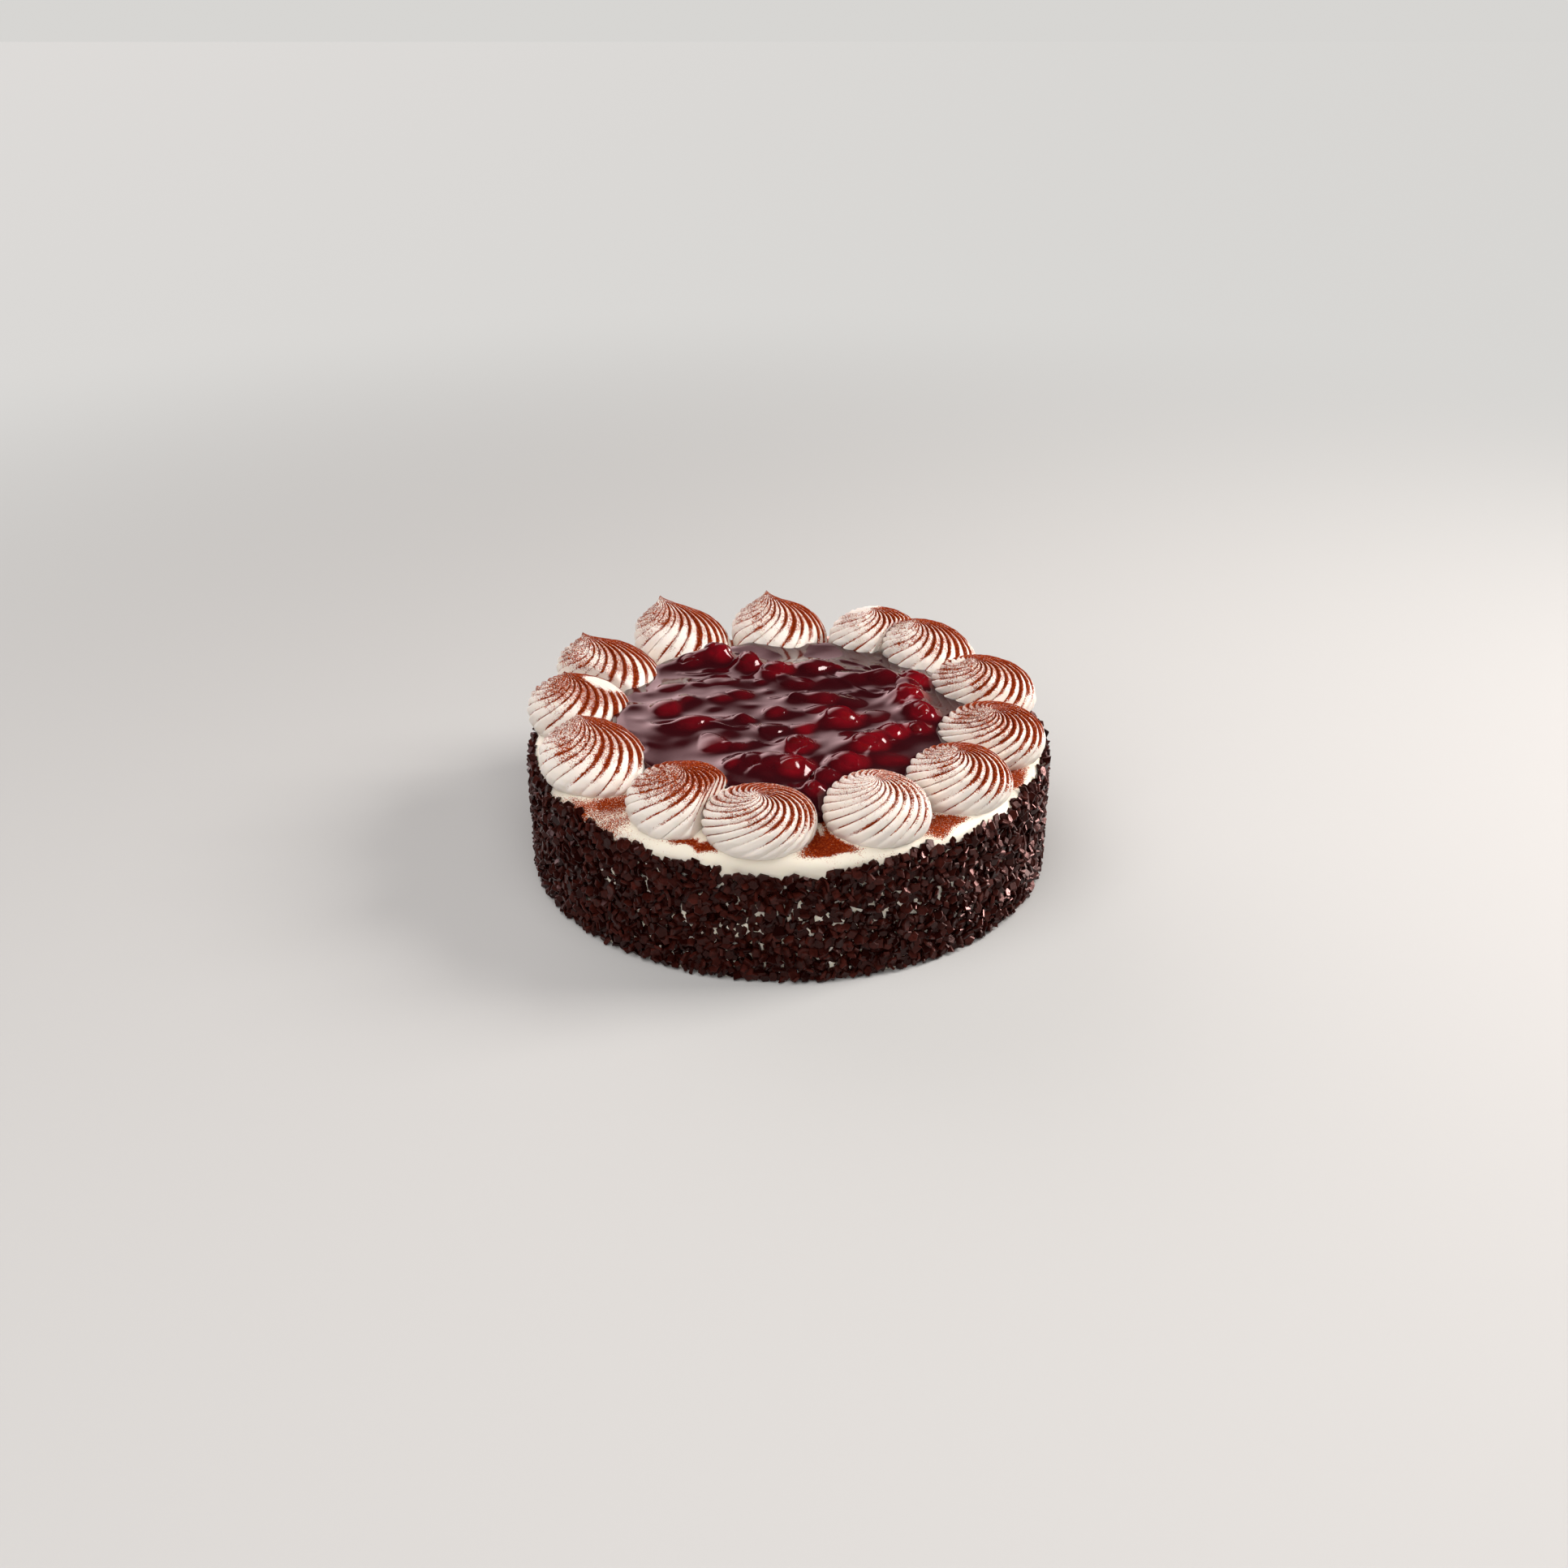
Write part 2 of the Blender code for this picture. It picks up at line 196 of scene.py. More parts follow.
def mathNode(tree, operation, first, second, clamp=False):
    node = addNode(tree, "ShaderNodeMath", {0: first, 1: second}, operation=operation, use_clamp=clamp)
    return node.outputs[0]


def spread(tree, value, fromLow, fromHigh, toLow=0.0, toHigh=1.0):
    return addNode(tree, "ShaderNodeMapRange", {
        "Value": value, "From Min": fromLow, "From Max": fromHigh,
        "To Min": toLow, "To Max": toHigh}).outputs["Result"]


def mixColours(tree, fac, first, second):
    node = addNode(tree, "ShaderNodeMix", data_type="RGBA")
    for key, value in ((0, fac), (6, first), (7, second)):
        if isinstance(value, bpy.types.NodeSocket):
            tree.links.new(value, node.inputs[key])
        else:
            node.inputs[key].default_value = value
    return node.outputs[2]


def bumpNode(tree, height, strength, distance, normal=None):
    node = addNode(tree, "ShaderNodeBump", {"Height": height, "Strength": strength, "Distance": distance})
    if normal:
        tree.links.new(normal, node.inputs["Normal"])
    return node.outputs["Normal"]


creamLook = {
    "piped": (0.91, 0.845, 0.775, 1),
    "pipedShade": (0.88, 0.79, 0.71, 1),
    "iced": (0.90, 0.84, 0.73, 1),
    "icedShade": (0.88, 0.80, 0.66, 1),
    # cocoa runs darker where it lies dense; in the ridges' grooves that darkness also paints their shade
    "cocoaLight": (0.56, 0.098, 0.018, 1),
    "cocoaDenseAndShade": (0.150, 0.012, 0.002, 1),
    "grain": 0.42 * mm,            # size of a speck of cocoa
    "coverage": (0.72, 0.235),     # how strong the speck noise must be, where dust is 0 and where it is 1
    "roughness": (0.42, 0.9),      # of bare cream and of cocoa
    "gloss": (0.3, 0.04),
}


def creamMaterial(name, pale, shade):
    # Whipped cream, with cocoa in specks where the piece's dust attribute says it lies.
    material, tree, shader = newMaterial(name)
    dust = attributeFac(tree, "dust")
    fine = objectNoise(tree, creamLook["grain"], 2.0, 0.6)
    clumps = objectNoise(tree, 3.2 * creamLook["grain"], 2.0, 0.6)
    grains = mathNode(tree, "ADD", mathNode(tree, "MULTIPLY", fine, 0.78),
                      mathNode(tree, "MULTIPLY", clumps, 0.22))
    need = spread(tree, dust, 0.0, 1.0, *creamLook["coverage"])
    mask = spread(tree, mathNode(tree, "SUBTRACT", grains, need), -0.02, 0.04)
    cream = mixColours(tree, objectNoise(tree, 9 * mm), pale, shade)
    uneven = objectNoise(tree, 1.7 * creamLook["grain"], 3.0, 0.7)
    # dense cocoa is darker, which in the grooves also stands for painted shade
    cocoaDepthAndShade = mathNode(tree, "ADD", spread(tree, uneven, 0.32, 0.68, -0.5, 0.75),
                    spread(tree, dust, 0.2, 1.0, 0.15, 1.0), clamp=True)
    cocoa = mixColours(tree, cocoaDepthAndShade, creamLook["cocoaLight"], creamLook["cocoaDenseAndShade"])
    tree.links.new(mixColours(tree, mask, cream, cocoa), shader.inputs["Base Color"])
    tree.links.new(spread(tree, mask, 0, 1, *creamLook["roughness"]), shader.inputs["Roughness"])
    tree.links.new(spread(tree, mask, 0, 1, *creamLook["gloss"]), shader.inputs["Specular IOR Level"])
    shader.inputs["Subsurface Weight"].default_value = 0.25
    shader.inputs["Subsurface Radius"].default_value = (1.0, 0.75, 0.5)
    shader.inputs["Subsurface Scale"].default_value = 1.2 * mm
    skin = bumpNode(tree, objectNoise(tree, 1.4 * mm, 3.0), 0.25, 0.12 * mm)
    powder = bumpNode(tree, mask, 0.5, 0.14 * mm, skin)
    tree.links.new(powder, shader.inputs["Normal"])
    return material


# Iced body of the cake

bodyLook = {
    "wall": 111.6 * mm,
    "shoulder": 5.0 * mm,
    "steps": 420,
    "fillet": 1.8 * mm,            # how far the icing rises at the foot of a rosette
    "filletRun": 2.2 * mm,
    "footShare": 0.88,             # foot of a rosette against its full radius
    # the cocoa between two rosettes fades out near the rim, and where the two come together
    "dustRim": (107.0 * mm, 110.3 * mm),
    "dustApex": (3.0 * mm, 6.5 * mm),
    "gapDust": (0.7, 0.75, 0.7, 0.7, 0.75, 0.75, 0.88, 0.84, 0.60, 0.6, 0.7, 0.7, 0.7),
    "stray": 0.22,                 # cocoa that fell anywhere on the top
    "drift": (-138, 13, 0.52),     # a looser drift of it: bearing and width in degrees, strength
    # unevenness of the top, then of the side: height and size of its waves
    "topWaves": ((0.35 * mm, 14 * mm), (0.12 * mm, 5 * mm)),
    "sideWaves": (0.5 * mm, 11 * mm),
}


def rosetteDistance(points, share):
    # For each point, how far it lies outside the nearest rosette's circle, and all distances.
    gaps = [np.hypot(points[:, 0] - row[0] * mm, points[:, 1] - row[1] * mm) - row[2] * mm * share
            for row in rosetteRows]
    return np.stack(gaps, axis=1)


def makeBody(material):
    look = bodyLook
    wall, shoulder = look["wall"], look["shoulder"]
    flat = wall - shoulder
    corners = [(0, cakeTop)]
    corners += [(radius, cakeTop) for radius in np.linspace(0.12, 0.66, 8) * wall]
    corners += [(radius, cakeTop) for radius in np.linspace(0.68 * wall, flat, 34)]
    for turn in np.linspace(0, math.pi / 2, 9)[1:]:
        corners.append((flat + shoulder * math.sin(turn), cakeTop - shoulder + shoulder * math.cos(turn)))
    corners += [(wall, height) for height in np.linspace(cakeTop - shoulder, 0.4 * mm, 22)[1:]]
    corners += [(wall - 1.0 * mm, 0), (0, 0)]
    mesh = turnedMesh("iced_body", corners, look["steps"])
    points = readPoints(mesh)
    reach = np.hypot(points[:, 0], points[:, 1])
    upper = points[:, 2] > cakeTop - shoulder - 0.1 * mm
    gaps = rosetteDistance(points, look["footShare"])
    nearest = gaps.min(axis=1)
    lift = look["fillet"] * np.exp(-np.maximum(nearest, 0) / look["filletRun"])
    for seed, (rise, size) in enumerate(look["topWaves"], 3):
        lift += rise * waves(points[:, :2], size, seed)
    fade = smoothStep(wall, flat - 3 * mm, reach)
    points[:, 2] += np.where(upper, lift * (0.25 + 0.75 * fade), 0)
    rise, size = look["sideWaves"]
    spreadOut = 1 + rise / wall * waves(points, size, 5)
    side = points[:, 2] > 0.2 * mm
    points[side, :2] *= np.clip(spreadOut[side], 0.99, 1.004)[:, None]
    writePoints(mesh, points)
    # cocoa lies in the triangles left open between two rosettes, out to a sharp rim
    order = np.argsort(gaps, axis=1)
    first, second = order[:, 0], order[:, 1]
    count = len(rosetteRows)
    pair = np.where((first - second) % count == 1, second, first)
    strength = np.array(look["gapDust"])[pair]
    beside = np.take_along_axis(gaps, order[:, 1:2], axis=1)[:, 0]
    inside = smoothStep(0.5 * mm, 2.0 * mm, nearest) * smoothStep(30 * mm, 12 * mm, beside)
    inside *= smoothStep(*look["dustApex"], beside)
    low, high = look["dustRim"]
    rim = smoothStep(high, low, reach + 1.2 * mm * waves(points[:, :2], 6 * mm, 6))
    stray = smoothStep(0, 1, 0.5 + 0.5 * waves(points[:, :2], 8 * mm, 7))
    stray *= look["stray"] * smoothStep(0.0, 2 * mm, nearest)
    bearing, width, most = look["drift"]
    aside = (np.degrees(np.arctan2(points[:, 1], points[:, 0])) - bearing) / width
    stray += most * np.exp(-aside ** 2) * smoothStep(0.2 * mm, 2 * mm, nearest)
    dust = np.where(upper, np.maximum(strength * inside * rim, stray), 0)
    writeAttribute(mesh, "dust", np.clip(dust, 0, 1))
    return placePiece("iced_body", mesh, material, ["cake"])


# Piped rosettes

pipingLook = {
    "ridges": 19,
    # one ridge, across: the dusted side up to the crest, then the clean side down to the next groove
    "phases": (0.0, 0.045, 0.10, 0.18, 0.27, 0.35, 0.42, 0.52, 0.66, 0.80, 0.92),
    "heights": (0.0, 0.22, 0.50, 0.78, 0.95, 1.0, 0.99, 0.93, 0.79, 0.58, 0.28),
    "dusts": (1.0, 1.0, 0.97, 0.88, 0.66, 0.26, 0.04, 0.02, 0.02, 0.04, 0.50),
    # cocoa in the grooves at full strength, so they take the darkest cocoa: real cocoa and painted groove
    # shade
    "groovesDustAndShade": (1.0, 0.95, 0.35, 0, 0, 0, 0, 0, 0, 0, 0.50),
    "rows": 72,
    # outline of the bun: share of the radius, share of the height
    "outline": ((0.86, -0.03), (0.935, 0.05), (0.985, 0.16), (1.0, 0.29), (0.982, 0.43), (0.925, 0.57),
                (0.825, 0.70), (0.68, 0.81), (0.51, 0.89), (0.34, 0.945), (0.18, 0.98), (0.06, 1.0),
                (0.0, 1.01)),
    # degrees off the meridian, up the bun
    "slope": ((0, 0.1, 0.25, 0.5, 0.72, 0.86, 1), (24, 48, 60, 58, 48, 30, 5)),
    "swell": 1.022,                # a shade wider than its full radius, so that neighbours close up
    "limit": 115.0 * mm,
    "depth": ((0, 0.07, 0.16, 0.3, 0.6, 1), (0.1, 0.38, 0.88, 1.28, 1.50, 1.50)),
    "mostDepth": 0.20,             # of a ridge against its distance from the tip
    "crownFrom": (0.06, 0.12, 0.99),        # where the loose cocoa fell from
    "driftFrom": (0.62, 0.22, 0.75),        # where it drifted into the ridges from
    "crownDust": 0.40,
    "driftDust": 0.80,
    "leastDust": 0.11,
    # wiped places, by rosette: bearing in degrees, how far out, and width in mm
    "smears": {1: ((120, 9.0, 11.0),), 3: ((150, 10.0, 5.0),), 10: ((20, 14.0, 9.0),)},
}


def smearShare(index, points):
    total = np.zeros(len(points))
    for bearing, out, width in pipingLook["smears"].get(index, ()):
        angle = math.radians(bearing)
        centre = np.array([out * math.cos(angle), out * math.sin(angle)]) * mm
        away = np.linalg.norm(points[:, :2] - centre, axis=1)
        total = np.maximum(total, smoothStep(width * mm, 0.5 * width * mm, away))
    return total


def contactPlanes(index):
    # Where the buns press flat on their neighbours: a point and the way towards the neighbour.
    x, y, radius = rosetteRows[index][:3]
    count = len(rosetteRows)
    for other in ((index - 1) % count, (index + 1) % count):
        otherX, otherY, otherRadius = rosetteRows[other][:3]
        apart = np.array([otherX - x, otherY - y])
        distance = np.linalg.norm(apart)
        reach = (distance ** 2 + radius ** 2 - otherRadius ** 2) / (2 * distance)
        if (index, other) in pipedOver:
            reach = fullShare * radius
        elif (other, index) in pipedOver:
            reach = distance - fullShare * otherRadius
        way = apart / distance
        yield (np.array([x, y]) + way * reach) * mm, way


def makeRosette(index, material):
    look = pipingLook
    x, y, radius, height, leanX, leanY, tip, cocoa, winding = rosetteRows[index]
    radius, height, tip = radius * mm, height * mm, tip * mm
    phases = np.array(look["phases"])
    perRidge = len(phases)
    steps = look["ridges"] * perRidge
    rows = look["rows"]
    name = f"rosette_{index + 1:02d}"
    # a plain cone first: its height numbers the rows and its bearing the columns
    corners = [(0, -1 / rows)] + [(1 - row / rows, row / rows) for row in range(rows + 1)]
    mesh = turnedMesh("piped_" + name, corners, steps)
    cone = readPoints(mesh)
    up = np.clip(cone[:, 2], 0, 1)
    column = np.rint(np.arctan2(cone[:, 1], cone[:, 0]) / math.tau * steps).astype(int) % steps
    ridge, part = column // perRidge, column % perRidge
    draw = np.random.default_rng(100 + index)
    ridgeShift = draw.normal(0, 0.05, look["ridges"])
    ridgeDepth = draw.uniform(0.78, 1.15, look["ridges"])
    phase = phases[part] + ridgeShift[ridge]
    # outline of the bun, its outward direction, and the twist of the ridges up it
    outline = smoothCurve(look["outline"], rows + 1) * (radius * look["swell"], height)
    run = np.gradient(outline, axis=0)
    run /= np.linalg.norm(run, axis=1)[:, None]
    stride = np.linalg.norm(np.diff(outline, axis=0), axis=1)
    share = np.linspace(0, 1, rows + 1)
    slope = np.tan(np.radians(winding * np.interp(share, *look["slope"])))
    twist = np.concatenate([[0], np.cumsum(slope[1:] * stride / np.maximum(outline[1:, 0], 0.07 * radius))])
    row = np.rint(up * rows).astype(int)
    girth, rise = outline[row, 0], outline[row, 1]
    outward, upward = run[row, 1], -run[row, 0]
    bearing = (ridge + phase) * math.tau / look["ridges"] + twist[row] + index * 1.7
    crest = np.array(look["heights"])[part]
    depth = np.interp(up, *look["depth"]) * mm * radius / (22.5 * mm) * ridgeDepth[ridge]
    depth = np.minimum(depth, look["mostDepth"] * girth)
    flat3 = np.stack([girth * np.cos(bearing), girth * np.sin(bearing), rise], axis=1)
    wobble = waves(flat3, 9 * mm, 200 + index)
    smear = smearShare(index, flat3)
    depth *= (1 + 0.22 * wobble) * (1 - 0.45 * smear)
    offset = -depth * (1 - crest) + 0.35 * mm * waves(flat3, 13 * mm, 300 + index)
    offset += 0.10 * mm * waves(flat3, 2.2 * mm, 400 + index)
    girth = np.maximum(girth + outward * offset, 0)
    rise = rise + upward * offset
    # the peak: drawn up to a point and pulled aside
    peak = np.clip(1 - girth / (0.66 * radius), 0, 1)
    rise = rise + (tip - height) * (0.75 * peak ** 1.6 + 0.25 * peak ** 8)
    lean = np.clip(rise / height, 0, 1.2) ** 1.5
    points = np.stack([girth * np.cos(bearing) + leanX * mm * lean,
                       girth * np.sin(bearing) + leanY * mm * lean, rise], axis=1)
    bottom = cone[:, 2] < -0.5 / rows
    points[bottom] = (0, 0, -0.03 * height)
    points += (x * mm, y * mm, cakeTop)
    for origin, way in contactPlanes(index):
        soft = 0.7 * mm
        beyond = (points[:, :2] - origin) @ way
        pressed = -soft * np.logaddexp(0, -beyond / soft)
        points[:, :2] += np.outer(np.minimum(pressed - beyond, 0), way)
    reach = np.hypot(points[:, 0], points[:, 1])
    held = np.minimum(reach, look["limit"] + 0.3 * np.maximum(reach - look["limit"], 0))
    points[:, :2] *= (held / reach)[:, None]
    writePoints(mesh, points)
    # cocoa: on what faces up, and in the grooves
    domeNormal = np.stack([outward * np.cos(bearing), outward * np.sin(bearing), upward], axis=1)
    patchy = 0.12 * waves(points, 9 * mm, 500 + index) + 0.07 * waves(points, 3 * mm, 600 + index)
    crown = smoothStep(0.40, 0.98, domeNormal @ look["crownFrom"] + patchy)
    drift = smoothStep(-0.25, 0.85, domeNormal @ look["driftFrom"] + patchy)
    side, grooveDustAndShade = np.array(look["dusts"])[part], np.array(look["groovesDustAndShade"])[part]
    dust = cocoa * (look["crownDust"] * crown + look["driftDust"] * side * drift) + look["leastDust"]
    dust = np.minimum(dust, 0.58 + 0.3 * side)
    # grooves filled with dense, dark cocoa: real cocoa with the groove's painted shade
    dust = np.maximum(dust, grooveDustAndShade * (0.80 + 0.8 * patchy))
    foot = up + 0.2 * patchy + 0.05 * draw.normal(size=look["ridges"])[ridge]
    dust *= smoothStep(0.05, 0.36, foot) * (1 - 0.85 * smear)
    writeAttribute(mesh, "dust", np.clip(dust, 0, 1))
    return placePiece("piped_" + name, mesh, material, [name])


# Cherry jelly, which climbs the cherries and shows their red, so their values stand here too

cherryLook = {
    "flattening": 0.92,
    # red where a cherry is painted as lit through its flesh, dark on its painted-shade side, in the stone's
    # hollow and on the darker cherries
    "red": (0.20, 0.002, 0.005, 1),
    "dark": (0.016, 0.0004, 0.0010, 1),
    "paintedLightFrom": (0.75, -0.45, 0.25),        # the side painted brighter red: painted light shining through the flesh
    # shares of the radius: the hollow left by the stone, the crease across it and the fleshy lobes,
    # each with how far it spreads, and two sizes of lumps with their heights
    "hollow": (0.16, 0.12),
    "crease": (0.11, 0.11),
    "lobes": (0.24, 0.22),
    "lumps": ((0.05, 0.9), (0.022, 0.33)),
    "core": 0.80,
}
jellyLook = {
    "centre": (0.9 * mm, 2.0 * mm),
    "level": 66.0 * mm,
    "reach": 78.0 * mm,
    "spoutReach": 85.0 * mm,
    "spoutBearing": math.radians(-84),
    "spoutWidth": math.radians(11),
    "tuck": 2.2 * mm,              # the jelly runs this far into the rosettes' grooves
    "steps": 500,
    "rows": 130,
    # the jelly's surface: height and size of its waves
    "waves": ((0.62 * mm, 24 * mm), (0.07 * mm, 11 * mm)),
    "deep": (0.028, 0.0016, 0.0032, 1),
    # red where the jelly is thin over a cherry, painted brighter on the side taken as lit
    "thin_red_and_painted_light": (0.19, 0.0020, 0.0065, 1),
}
# Cherries under the jelly: centre x, y, radius and rise in mm, stretch, turn in degrees, and redness.
coveredRows = (
    (12.0, 43.5, 7.0, 4.2, 1.30, 12, 0.35), (22.5, 44.0, 3.0, 1.4, 1.2, 0, 0.5),
    (43.0, 31.0, 7.0, 4.0, 1.35, 0, 0.35), (29.0, 33.5, 5.0, 2.0, 1.9, -25, 0.15),
    (12.9, 9.5, 6.5, 4.0, 1.25, 5, 0.45), (27.0, 9.0, 6.0, 1.6, 1.4, 0, 0.1),
    (-31.5, -33.0, 7.0, 2.6, 1.05, 10, 0.50), (-7.5, -19.5, 5.0, 2.4, 1.35, 5, 0.10),
    (6.5, -17.5, 4.5, 1.6, 1.2, 27, 1.0), (-6.5, -1.5, 4.2, 2.6, 1.25, 13, 0.55),
    (-21.5, 16.0, 4.4, 2.6, 1.4, -20, 0.45), (-42.0, -15.5, 6.4, 3.8, 1.35, 15, 0.70),
    (-54.0, 2.5, 6.0, 3.4, 1.3, 20, 0.75), (3.4, 28.6, 5.5, 1.8, 1.5, 0, 0.25),
    (-33.0, 31.0, 6.5, 1.2, 1.5, 20, 0.10), (-22.5, -36.0, 3.6, 1.8, 1.3, 8, 0.25),
    (-24.5, -54.5, 3.2, 2.0, 1.1, 0, 0.60), (41.0, -46.0, 6.0, 1.0, 1.3, 15, 0.5),
    (-19.0, -10.0, 3.6, 1.6, 1.2, -20, 0.35), (-53.0, 24.0, 5.0, 1.2, 1.3, 30, 0.25),
    (38.0, -6.0, 6.0, 1.2, 1.3, 50, 0.25), (-7.5, -53.0, 7.0, 4.6, 1.35, -12, 0.30),
    (55.5, 4.5, 6.0, 4.4, 1.3, -66, 0.60), (54.5, 21.5, 5.5, 4.0, 1.3, -60, 0.50),
    (38.0, -28.5, 6.0, 3.8, 1.3, 38, 0.50), (-39.5, 55.0, 5.0, 3.6, 1.3, 10, 0.30),
    (-13.0, 30.0, 2.0, 0.9, 1.3, 0, 0.2), (12.0, -2.0, 3.6, 1.0, 1.4, 0, 0.4),
    (-31.0, 11.0, 3.0, 0.9, 2.0, 5, 0.4))
# Folds where the jelly was spread: points x, y in mm, then height and width.
foldRows = (
    (((-37, -18), (-33, -16.5), (-25, -19.5), (-18, -18)), 0.8, 1.1),
    (((-18, -13.5), (-14.5, -17.5), (-11.5, -23.5), (-8.5, -27.5)), 0.8, 1.1),
    (((-13, -31.5), (-6, -33.8), (-0.5, -36.5), (3.4, -43.5)), 0.6, 1.0),
    (((-38, 48), (-34, 56.5), (-25, 64)), 0.8, 1.3),
    (((16, 35), (20.5, 32.5), (27, 26.5), (33.5, 18.5), (39.5, 15.5), (46.5, 17.5)), 0.9, 1.5),
    (((29, 43), (37, 41), (45, 43.5)), 0.6, 1.1),
    (((25, 56), (34, 49), (38, 44)), 0.7, 1.2),
    (((-8, 13), (-3, 13.5), (1, 16.5), (8, 19)), 0.6, 1.0),
    (((-50, 40), (-40, 38), (-28, 41)), 0.5, 1.4))


def ellipseShare(plan, x, y, radius, stretch, turn):
    # How far each point lies from a lump's middle, against the lump's own half width that way.
    angle = math.radians(turn)
    away = plan - np.array([x, y]) * mm
    along = away @ (math.cos(angle), math.sin(angle)) / stretch
    across = away @ (-math.sin(angle), math.cos(angle))
    return np.hypot(along, across) / (radius * mm), away


def paintedLightShare(away, radius):
    # 0 to 1 across a lump, towards the side painted brighter red: painted light shining through it.
    flat = np.minimum(np.hypot(away[:, 0], away[:, 1]) / radius, 1.2)
    way = away / np.maximum(np.hypot(away[:, 0], away[:, 1]), 0.1 * mm)[:, None]
    paintedLit = cherryLook["paintedLightFrom"]
    return smoothStep(-0.6, 0.8, flat * (way @ paintedLit[:2]) + np.sqrt(np.maximum(1 - flat ** 2, 0)) * paintedLit[2])


def foldHeight(plan, corners, height, width):
    line = smoothCurve(np.array(corners) * mm, 40)
    nearest = np.full(len(plan), 1.0)
    where = np.zeros(len(plan))
    for number, point in enumerate(line):
        away = np.hypot(plan[:, 0] - point[0], plan[:, 1] - point[1])
        closer = away < nearest
        nearest[closer] = away[closer]
        where[closer] = number / (len(line) - 1)
    fade = np.sin(math.pi * np.clip(where, 0.04, 0.96)) ** 0.6
    return height * mm * fade * np.exp(-(nearest / (width * mm)) ** 2)


def jellyEdge(bearings):
    # How far the jelly runs along each bearing before a rosette stops it.
    look = jellyLook
    centre = np.array(look["centre"])
    rays = np.stack([np.cos(bearings), np.sin(bearings)], axis=1)
    aside = (bearings - look["spoutBearing"] + math.pi) % math.tau - math.pi
    spout = np.exp(-(aside / look["spoutWidth"]) ** 2)
    reach = look["reach"] + (look["spoutReach"] - look["reach"]) * spout
    for x, y, radius, _, leanX, leanY, _, _, _ in rosetteRows:
        middle = np.array([x + 0.33 * leanX, y + 0.33 * leanY]) * mm - centre
        along = rays @ middle
        across = middle @ middle - along ** 2
        size = 0.95 * radius * mm - look["tuck"]
        met = along - np.sqrt(np.maximum(size ** 2 - across, 0))
        reach = np.where((along > 0) & (across < size ** 2), np.minimum(reach, met), reach)
    return reach


def makeJelly(material):
    look = jellyLook
    rows = look["rows"]
    # rows run from the middle of the top out to the edge, then down the side
    corners = [(row / rows, 1) for row in range(rows + 1)] + [(1, 0.5), (1, 0), (0, 0)]
    mesh = turnedMesh("cherry_jelly", corners, look["steps"])
    flatDisc = readPoints(mesh)
    bearing = np.arctan2(flatDisc[:, 1], flatDisc[:, 0])
    share = np.hypot(flatDisc[:, 0], flatDisc[:, 1])
    edge = jellyEdge(bearing)
    centre = np.array(look["centre"])
    plan = centre + np.stack([np.cos(bearing), np.sin(bearing)], axis=1) * (share * edge)[:, None]
    warp = plan + 6 * mm * np.stack([waves(plan, 34 * mm, 11), waves(plan, 34 * mm, 12)], axis=1)
    (swell, swellSize), (ripple, rippleSize) = look["waves"]
    level = look["level"] + swell * waves(warp, swellSize, 13) + ripple * waves(warp, rippleSize, 14)
    thin_red_and_painted_light = np.zeros(len(plan))
    uneven = 1 + 0.20 * waves(plan, 6.5 * mm, 15)
    for x, y, radius, rise, stretch, turn, red in coveredRows:
        distance, away = ellipseShare(plan, x, y, radius, stretch, turn)
        distance *= uneven
        cap = np.clip(1 - distance ** 2, 0, 1) ** 0.8
        level += rise * mm * (0.55 * cap + 0.50 * np.exp(-(distance / 1.35) ** 2))
        # the red over each covered cherry is painted brighter on one side: painted light
        paintedLit = 0.10 + 0.75 * paintedLightShare(away, 1.3 * radius * mm)
        thin_red_and_painted_light = np.maximum(thin_red_and_painted_light, red * paintedLit * smoothStep(1.55, 0.5, distance))
    for corners, height, width in foldRows:
        level += foldHeight(plan, corners, height, width)
    bare = level.copy()
    for x, y, radius, top, stretch, turn, red in cherryRows:
        # the jelly climbs each standing cherry, higher up its back than its front
        distance, away = ellipseShare(plan, x, y, radius, stretch, turn)
        backward = away[:, 1] / np.maximum(np.hypot(away[:, 0], away[:, 1]), 0.1 * mm)
        contact = 0.52 - 0.24 * backward + 0.10 * waves(plan, 5 * mm, 16)
        tall = cherryLook["flattening"] * radius * mm
        middle = top * mm - tall
        meets = middle + tall * np.sqrt(np.clip(1 - contact ** 2, 0, 1))
        flare = np.maximum(meets - bare, 0) * np.exp(-(np.maximum(distance - contact, 0) / 0.40) ** 1.5)
        under = middle + tall * np.sqrt(np.clip(1 - distance ** 2, 0, 1)) - 0.5 * mm
        wetted = np.maximum(np.minimum(under, meets + 5 * mm), bare)
        wet = np.where(distance < contact, wetted, bare + flare)
        level = np.maximum(level, wet)
        # the same painted light on the red round each standing cherry
        paintedLit = 0.10 + 0.90 * paintedLightShare(away, 1.1 * radius * mm)
        thin_red_and_painted_light = np.maximum(thin_red_and_painted_light, red * paintedLit * smoothStep(1.45, 0.85, distance))
    lip = smoothStep(1, 0.93, share)
    droop = smoothStep(76 * mm, 84 * mm, share * edge)
    level -= 0.6 * mm * (1 - lip) + 5.5 * mm * droop
    floor = cakeTop + 0.2 * mm
    heightShare = flatDisc[:, 2]
    height = floor + (level - floor) * heightShare
    writePoints(mesh, np.column_stack([plan, height]))
    writeAttribute(mesh, "thin_red_and_painted_light", np.clip(thin_red_and_painted_light, 0, 1))
    return placePiece("cherry_jelly", mesh, material, ["jelly"])


